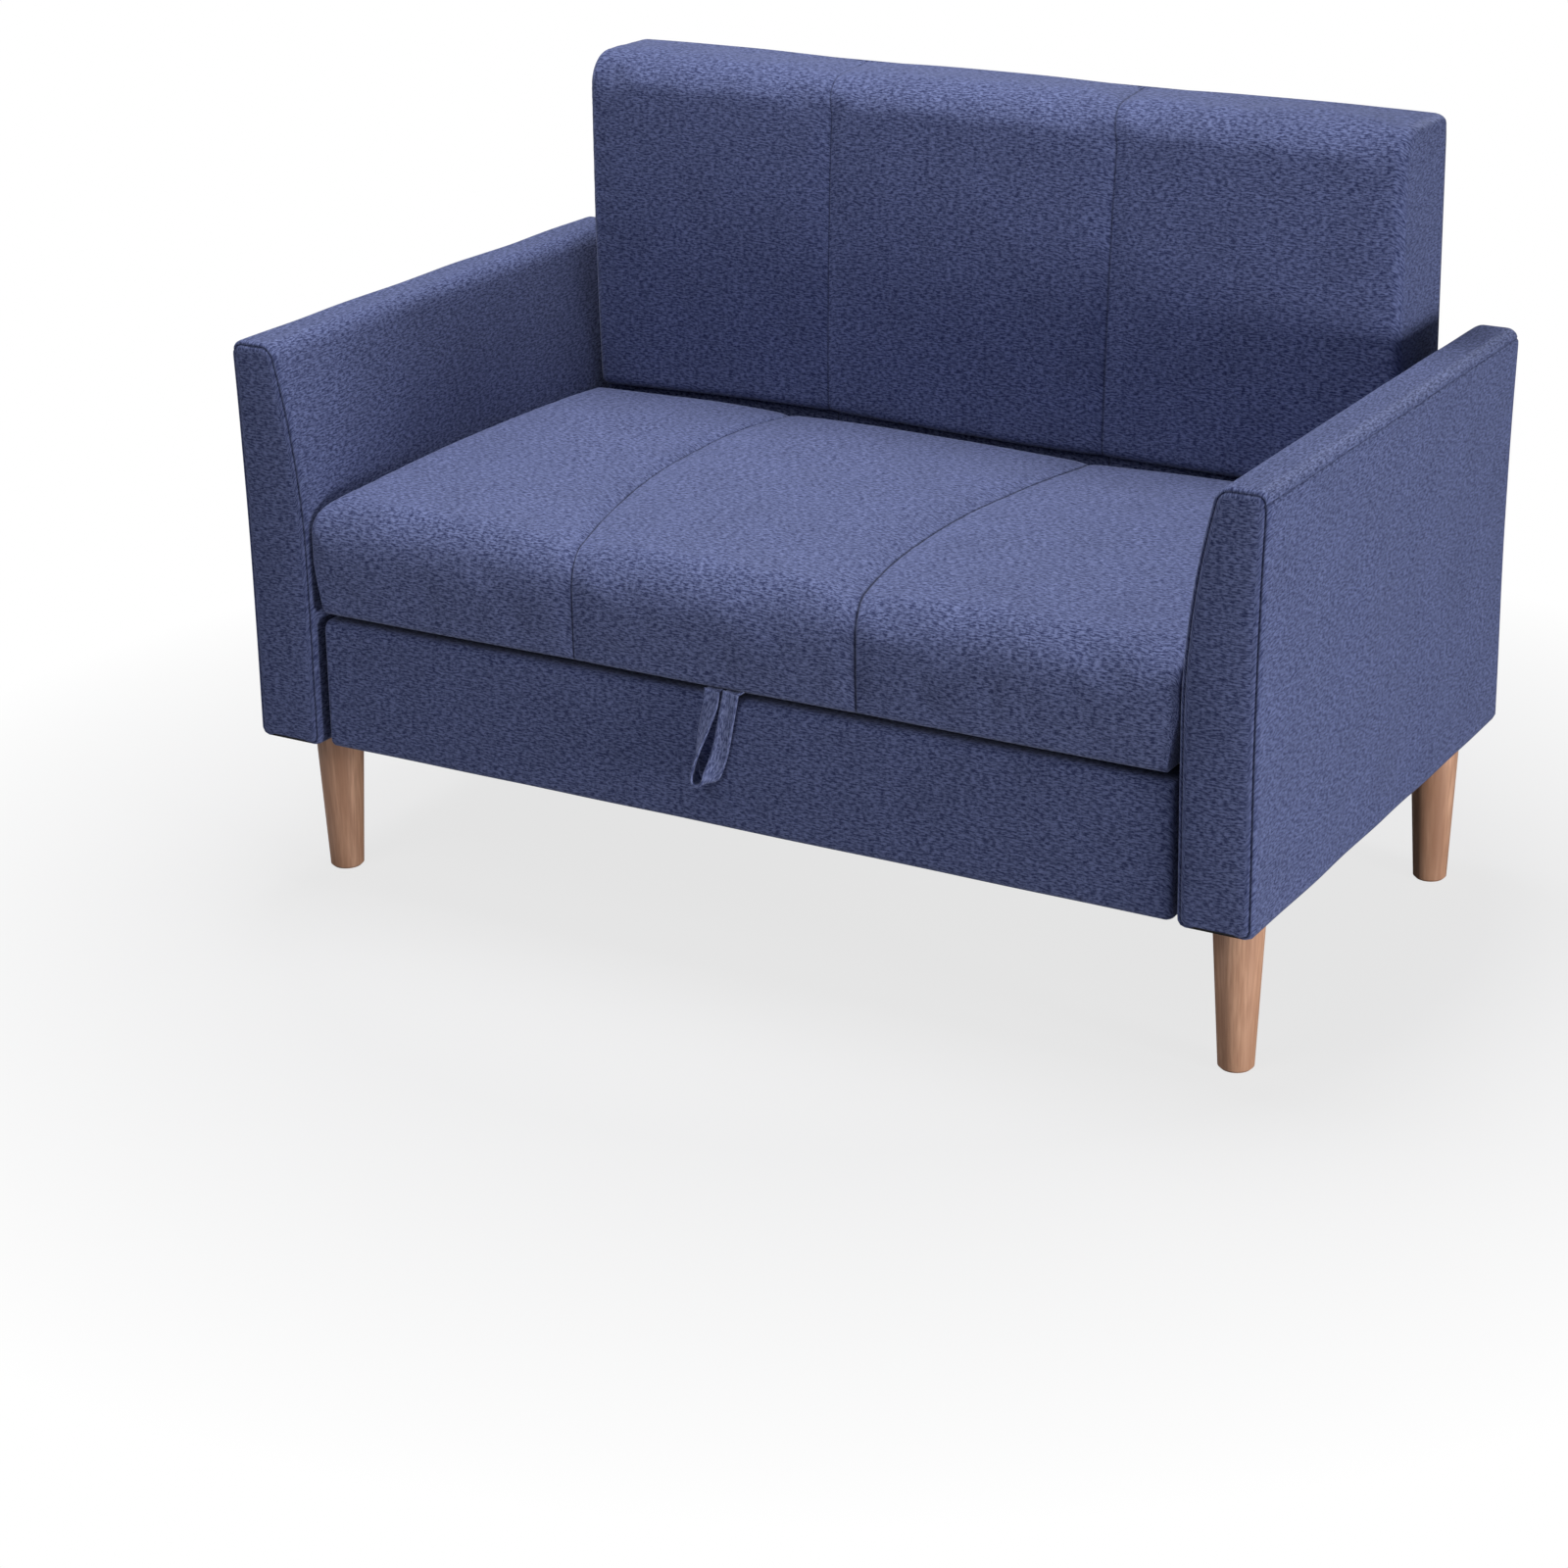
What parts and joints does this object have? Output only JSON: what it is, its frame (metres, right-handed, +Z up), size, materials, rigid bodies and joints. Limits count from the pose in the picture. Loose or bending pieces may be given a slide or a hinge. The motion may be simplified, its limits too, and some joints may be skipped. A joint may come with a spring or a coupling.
{
  "type": "two-seater storage sofa",
  "caption": "Compact fabric loveseat with slim curved arms, tapered wooden legs and a padded seat that tips up on rear pivots over a storage box, lifted by a pull loop.",
  "frame": {"origin": "on the floor under the middle of the sofa's bounding box", "axes": "+X across the sofa, to the right as seen from the front, +Y from the front to the back, +Z up"},
  "size_m": [1.1688, 0.661, 0.8251],
  "materials": {
    "navy_fabric": "heathered navy linen-look weave",
    "black_lining": "black non-woven lining",
    "black_board": "black faced board",
    "beech": "satin lacquered beech",
    "pine": "sawn pine",
    "plywood": "raw plywood",
    "black_steel": "black powder coat",
    "zinc_steel": "bright zinc",
    "nylon": "black nylon"
  },
  "bodies": {
    "base": {"arm_bolts": "zinc_steel", "arm_bottom_rail_left": "pine", "arm_bottom_rail_right": "pine", "arm_cover_left": "navy_fabric", "arm_cover_right": "navy_fabric", "arm_front_former_left": "pine", "arm_front_former_right": "pine", "arm_mount_panel_left": "plywood", "arm_mount_panel_right": "plywood", "arm_rear_former_left": "pine", "arm_rear_former_right": "pine", "arm_top_rail_left": "pine", "arm_top_rail_right": "pine", "back_bolt_rail": "pine", "back_bolts": "zinc_steel", "back_bottom_rail": "pine", "back_centre_stile": "pine", "back_cushion": "navy_fabric", "back_mount_rail": "pine", "back_panel": "plywood", "back_rear_cover": "navy_fabric", "back_seat_rail": "pine", "back_stile_left": "pine", "back_stile_right": "pine", "back_top_rail": "pine", "bolt_washers": "zinc_steel", "corner_angles": "black_steel", "floor_cleat_left": "pine", "floor_cleat_right": "pine", "floor_panel": "black_board", "floor_rail": "pine", "front_board": "black_board", "front_cover": "navy_fabric", "leg_bolts": "zinc_steel", "leg_front_left": "beech", "leg_front_right": "beech", "leg_plates": "zinc_steel", "leg_rear_left": "beech", "leg_rear_right": "beech", "pivot_bracket_left": "black_steel", "pivot_bracket_right": "black_steel", "pivot_bushes": "nylon", "pivot_pins": "zinc_steel", "rear_board": "black_board", "side_board_left": "black_board", "side_board_right": "black_board", "tee_nuts": "zinc_steel"},
    "seat_lid": {"seat_cushion": "navy_fabric", "seat_deck": "plywood", "seat_front_rail": "pine", "seat_rear_rail": "pine", "seat_side_rail_left": "pine", "seat_side_rail_right": "pine", "seat_centre_rail": "pine", "seat_dust_cover": "black_lining", "lid_plate_left": "black_steel", "lid_plate_right": "black_steel", "loop_tabs": "navy_fabric"},
    "pull_loop": {"pull_loop": "navy_fabric"}
  },
  "joints": [
    {"name": "seat_lid_hinge", "type": "hinge", "parent": "base", "child": "seat_lid", "pos_m": [0, 0.198, 0.388], "axis": [-1, 0, 0], "range_deg": [0, 40]},
    {"name": "pull_loop_swing", "type": "hinge", "parent": "seat_lid", "child": "pull_loop", "pos_m": [0, -0.3275, 0.316], "axis": [-1, 0, 0], "range_deg": [0, 80]}
  ]
}
